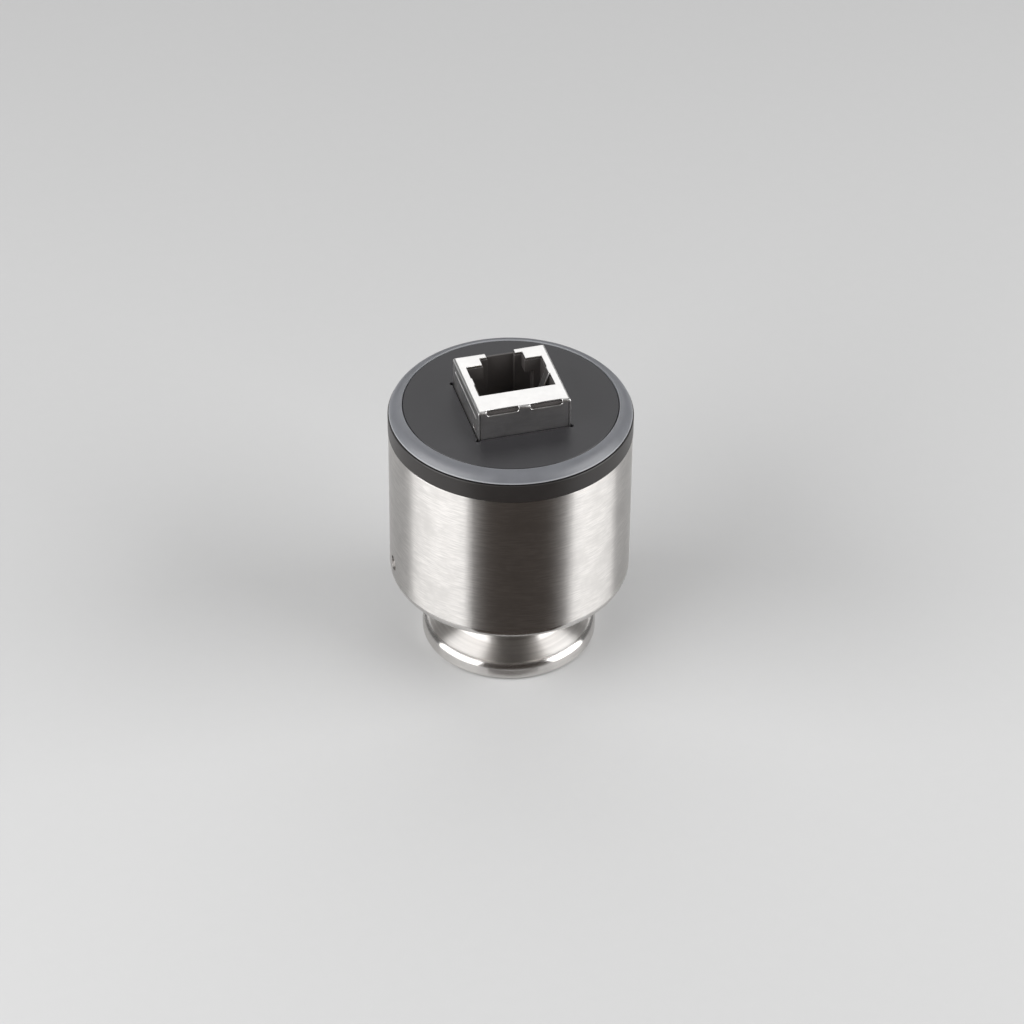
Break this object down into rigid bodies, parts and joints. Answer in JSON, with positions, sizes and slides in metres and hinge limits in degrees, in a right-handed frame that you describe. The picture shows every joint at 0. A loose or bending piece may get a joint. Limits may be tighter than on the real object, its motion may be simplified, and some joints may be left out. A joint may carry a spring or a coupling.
{
  "type": "pirani vacuum gauge",
  "caption": "Pirani vacuum gauge: small clamp flange with a heated wire cell, round brushed steel housing, black cap with a grey light ring and a shielded modular jack on top.",
  "frame": {"origin": "centre of the flange's sealing face, which the gauge stands on", "axes": "+Z along the gauge's axis from the flange towards the jack, -Y the front side of the jack, -X the side with the set screw"},
  "size_m": [0.0412, 0.0412, 0.0534],
  "materials": {
    "turned_steel": "turned, semi-bright",
    "brushed_housing": "brushed round the axis",
    "screen_steel": "satin",
    "spring_steel": "dark",
    "plate_metal": "satin",
    "bead_glass": "clear",
    "contact_gold": "gold plated",
    "nickel_wire": "satin",
    "tungsten_wire": "drawn",
    "resistor_ceramic": "lacquered",
    "seal_rubber": "matte",
    "collar_aluminium": "turned",
    "screw_steel": "satin",
    "connector_plastic": "matte",
    "board_green": "solder mask",
    "chip_black": "moulded",
    "spacer_brass": "nickel free",
    "capacitor_can": "bright",
    "light_lens": "clear lens",
    "shield_sheet": "plated sheet",
    "jack_plastic": "moulded",
    "band_plastic": "fine satin",
    "ring_plastic": "frosted translucent",
    "disc_black": "matte"
  },
  "bodies": {
    "root": {"flange_tube": "turned_steel", "inlet_screen": "screen_steel", "snap_ring": "spring_steel", "feedthrough_plate": "plate_metal", "glass_beads": "bead_glass", "feedthrough_pins": "contact_gold", "filament_arms": "nickel_wire", "filament": "tungsten_wire", "reference_resistor": "resistor_ceramic", "base_seal": "seal_rubber", "clamp_collar": "collar_aluminium", "set_screw": "screw_steel", "housing_cup": "brushed_housing", "sensor_socket": "connector_plastic", "socket_contacts": "contact_gold", "sensor_board": "board_green", "controller_chip": "chip_black", "bridge_amplifier": "chip_black", "bridge_resistors": "chip_black", "link_header": "connector_plastic", "link_pins": "contact_gold", "board_spacers": "spacer_brass", "jack_board": "board_green", "supply_capacitors": "capacitor_can", "supply_regulator": "chip_black", "status_lights": "light_lens", "board_screws": "screw_steel", "jack_shield": "shield_sheet", "jack_insert": "jack_plastic", "jack_contacts": "contact_gold", "cap_band": "band_plastic", "light_ring": "ring_plastic", "cover_disc": "disc_black"}
  },
  "joints": []
}
